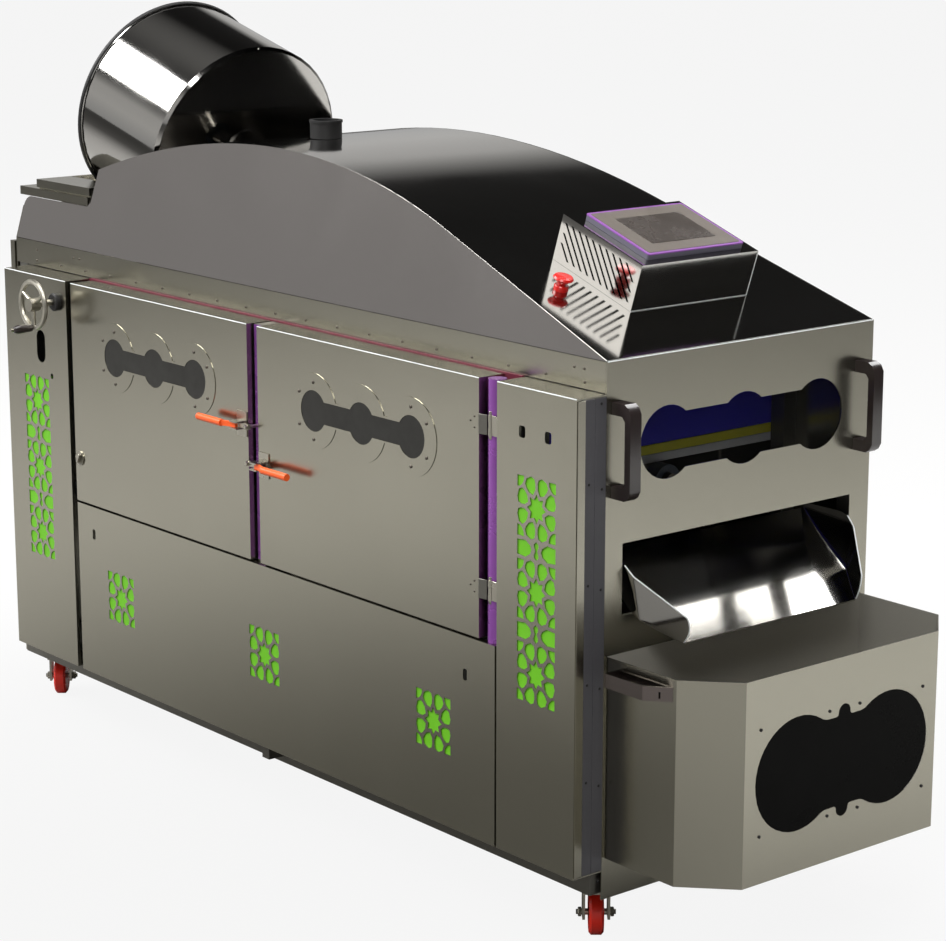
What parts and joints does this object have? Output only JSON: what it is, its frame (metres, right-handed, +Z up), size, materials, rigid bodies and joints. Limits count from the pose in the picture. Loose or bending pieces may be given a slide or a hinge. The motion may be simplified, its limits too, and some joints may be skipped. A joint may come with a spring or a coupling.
{
  "type": "nut roasting machine",
  "caption": "Floor-standing sheet-steel nut roaster on casters with an arched roof, side doors, a tilted mixing drum, a console, a discharge chute and a removable bin",
  "frame": {"origin": "on the floor, below the middle of the bounding box", "axes": "+X towards the discharge chute and bin, +Y away from the door side, +Z up"},
  "size_m": [2.675, 1.028, 1.8871],
  "materials": {
    "panel_steel": "satin sheet",
    "polished_steel": "mirror polish",
    "tube_steel": "plain tube",
    "zinc_steel": "zinc plated",
    "black_plastic": "gloss",
    "red_plastic": "gloss",
    "orange_grip": "satin grip",
    "green_paint": "satin paint",
    "purple_paint": "satin paint",
    "motor_paint": "grey paint",
    "crimson_seal": "matte",
    "dark_glass": "tinted"
  },
  "bodies": {
    "machine": {"frame": "tube_steel", "front_post": "panel_steel", "front_column": "panel_steel", "rear_column": "panel_steel", "lower_panel": "panel_steel", "side_panel_far": "panel_steel", "front_vent_backing": "green_paint", "rear_vent_backing": "green_paint", "lower_vent_backing": "green_paint", "eaves_rail": "panel_steel", "cheek_near": "panel_steel", "cheek_far": "panel_steel", "roof_sheet": "polished_steel", "steam_outlet": "polished_steel", "front_panel": "panel_steel", "front_window": "dark_glass", "rear_panel": "panel_steel", "pull_handle_near": "black_plastic", "pull_handle_far": "black_plastic", "hinge_post": "purple_paint", "door_seal": "crimson_seal", "console_box": "polished_steel", "touch_panel": "purple_paint", "stop_collar": "red_plastic", "mixing_gearmotor": "motor_paint", "feed_well": "panel_steel", "feed_collar": "panel_steel", "drum_bearing_front": "motor_paint", "drum_bearing_rear": "motor_paint", "drum_gearmotor": "motor_paint", "chamber_floor": "panel_steel", "burner": "tube_steel", "chute": "polished_steel"},
    "front_door": {"door_front": "panel_steel", "door_front_glass": "dark_glass", "clamp_lower_base": "zinc_steel"},
    "rear_door": {"door_rear": "panel_steel", "door_rear_glass": "dark_glass", "clamp_upper_base": "zinc_steel"},
    "lower_arm": {"clamp_lower_arm": "zinc_steel"},
    "lower_lever": {"clamp_lower_lever": "orange_grip"},
    "upper_arm": {"clamp_upper_arm": "zinc_steel"},
    "upper_lever": {"clamp_upper_lever": "orange_grip"},
    "crank_wheel": {"handwheel": "zinc_steel"},
    "crank_grip": {"handwheel_grip": "black_plastic"},
    "stop_cap": {"stop_button": "red_plastic"},
    "mixing_pan": {"mixing_drum": "polished_steel"},
    "roaster": {"roasting_drum": "panel_steel"},
    "collection_bin": {"bin": "panel_steel", "bin_window": "dark_glass", "bin_handle_near": "panel_steel", "bin_handle_far": "panel_steel"},
    "fork_front_near": {"caster_fork_front_near": "zinc_steel"},
    "wheel_front_near": {"caster_wheel_front_near": "red_plastic"},
    "fork_front_far": {"caster_fork_front_far": "zinc_steel"},
    "wheel_front_far": {"caster_wheel_front_far": "red_plastic"},
    "fork_rear_near": {"caster_fork_rear_near": "zinc_steel"},
    "wheel_rear_near": {"caster_wheel_rear_near": "red_plastic"},
    "fork_rear_far": {"caster_fork_rear_far": "zinc_steel"},
    "wheel_rear_far": {"caster_wheel_rear_far": "red_plastic"}
  },
  "joints": [
    {"name": "front_door_hinge", "type": "hinge", "parent": "machine", "child": "front_door", "pos_m": [0.7475, -0.37, 0.925], "axis": [0, 0, 1], "range_deg": [0, 110]},
    {"name": "rear_door_hinge", "type": "hinge", "parent": "machine", "child": "rear_door", "pos_m": [-0.9165, -0.372, 0.925], "axis": [0, 0, -1], "range_deg": [0, 75]},
    {"name": "lower_clamp_lever", "type": "hinge", "parent": "front_door", "child": "lower_lever", "pos_m": [-0.063, -0.3995, 0.882], "axis": [0, 0, -1], "range_deg": [0, 65]},
    {"name": "lower_clamp_arm", "type": "hinge", "parent": "front_door", "child": "lower_arm", "pos_m": [-0.075, -0.392, 0.882], "axis": [0, 0, 1], "range_deg": [0, 91]},
    {"name": "upper_clamp_lever", "type": "hinge", "parent": "rear_door", "child": "upper_lever", "pos_m": [-0.148, -0.3995, 0.968], "axis": [0, 0, 1], "range_deg": [0, 65]},
    {"name": "upper_clamp_arm", "type": "hinge", "parent": "rear_door", "child": "upper_arm", "pos_m": [-0.136, -0.392, 0.968], "axis": [0, 0, -1], "range_deg": [0, 91]},
    {"name": "crank_turn", "type": "hinge", "parent": "machine", "child": "crank_wheel", "pos_m": [-0.9755, -0.446, 1.15], "axis": [0, -1, 0], "continuous": true},
    {"name": "crank_grip_spin", "type": "hinge", "parent": "crank_wheel", "child": "crank_grip", "pos_m": [-0.9755, -0.48, 1.091], "axis": [0, -1, 0], "continuous": true},
    {"name": "stop_press", "type": "slide", "parent": "machine", "child": "stop_cap", "axis": [-0.3194, 0, -0.9476], "range_m": [0, 0.005]},
    {"name": "mixing_turn", "type": "hinge", "parent": "machine", "child": "mixing_pan", "pos_m": [-0.7905, 0.09, 1.517], "axis": [-0.9636, 0, 0.2672], "continuous": true},
    {"name": "roasting_turn", "type": "hinge", "parent": "machine", "child": "roaster", "pos_m": [-0.0755, 0.09, 0.93], "axis": [1, 0, 0], "continuous": true},
    {"name": "bin_lift", "type": "slide", "parent": "machine", "child": "collection_bin", "axis": [0, 0, 1], "range_m": [0, 0.04]},
    {"name": "swivel_front_near", "type": "hinge", "parent": "machine", "child": "fork_front_near", "pos_m": [0.9455, -0.239, 0.1], "axis": [0, 0, 1], "continuous": true},
    {"name": "roll_front_near", "type": "hinge", "parent": "fork_front_near", "child": "wheel_front_near", "pos_m": [0.92852, -0.22501, 0.05], "axis": [0.6361, 0.7716, 0], "continuous": true},
    {"name": "swivel_front_far", "type": "hinge", "parent": "machine", "child": "fork_front_far", "pos_m": [0.9455, 0.419, 0.1], "axis": [0, 0, 1], "continuous": true},
    {"name": "roll_front_far", "type": "hinge", "parent": "fork_front_far", "child": "wheel_front_far", "pos_m": [0.92852, 0.43299, 0.05], "axis": [0.6361, 0.7716, 0], "continuous": true},
    {"name": "swivel_rear_near", "type": "hinge", "parent": "machine", "child": "fork_rear_near", "pos_m": [-1.2585, -0.239, 0.1], "axis": [0, 0, 1], "continuous": true},
    {"name": "roll_rear_near", "type": "hinge", "parent": "fork_rear_near", "child": "wheel_rear_near", "pos_m": [-1.27548, -0.22501, 0.05], "axis": [0.6361, 0.7716, 0], "continuous": true},
    {"name": "swivel_rear_far", "type": "hinge", "parent": "machine", "child": "fork_rear_far", "pos_m": [-1.2585, 0.419, 0.1], "axis": [0, 0, 1], "continuous": true},
    {"name": "roll_rear_far", "type": "hinge", "parent": "fork_rear_far", "child": "wheel_rear_far", "pos_m": [-1.27548, 0.43299, 0.05], "axis": [0.6361, 0.7716, 0], "continuous": true}
  ],
  "couplings": [
    {"joint": "lower_clamp_arm", "follows": "lower_clamp_lever", "ratio": 1.3846},
    {"joint": "upper_clamp_arm", "follows": "upper_clamp_lever", "ratio": 1.3846}
  ]
}
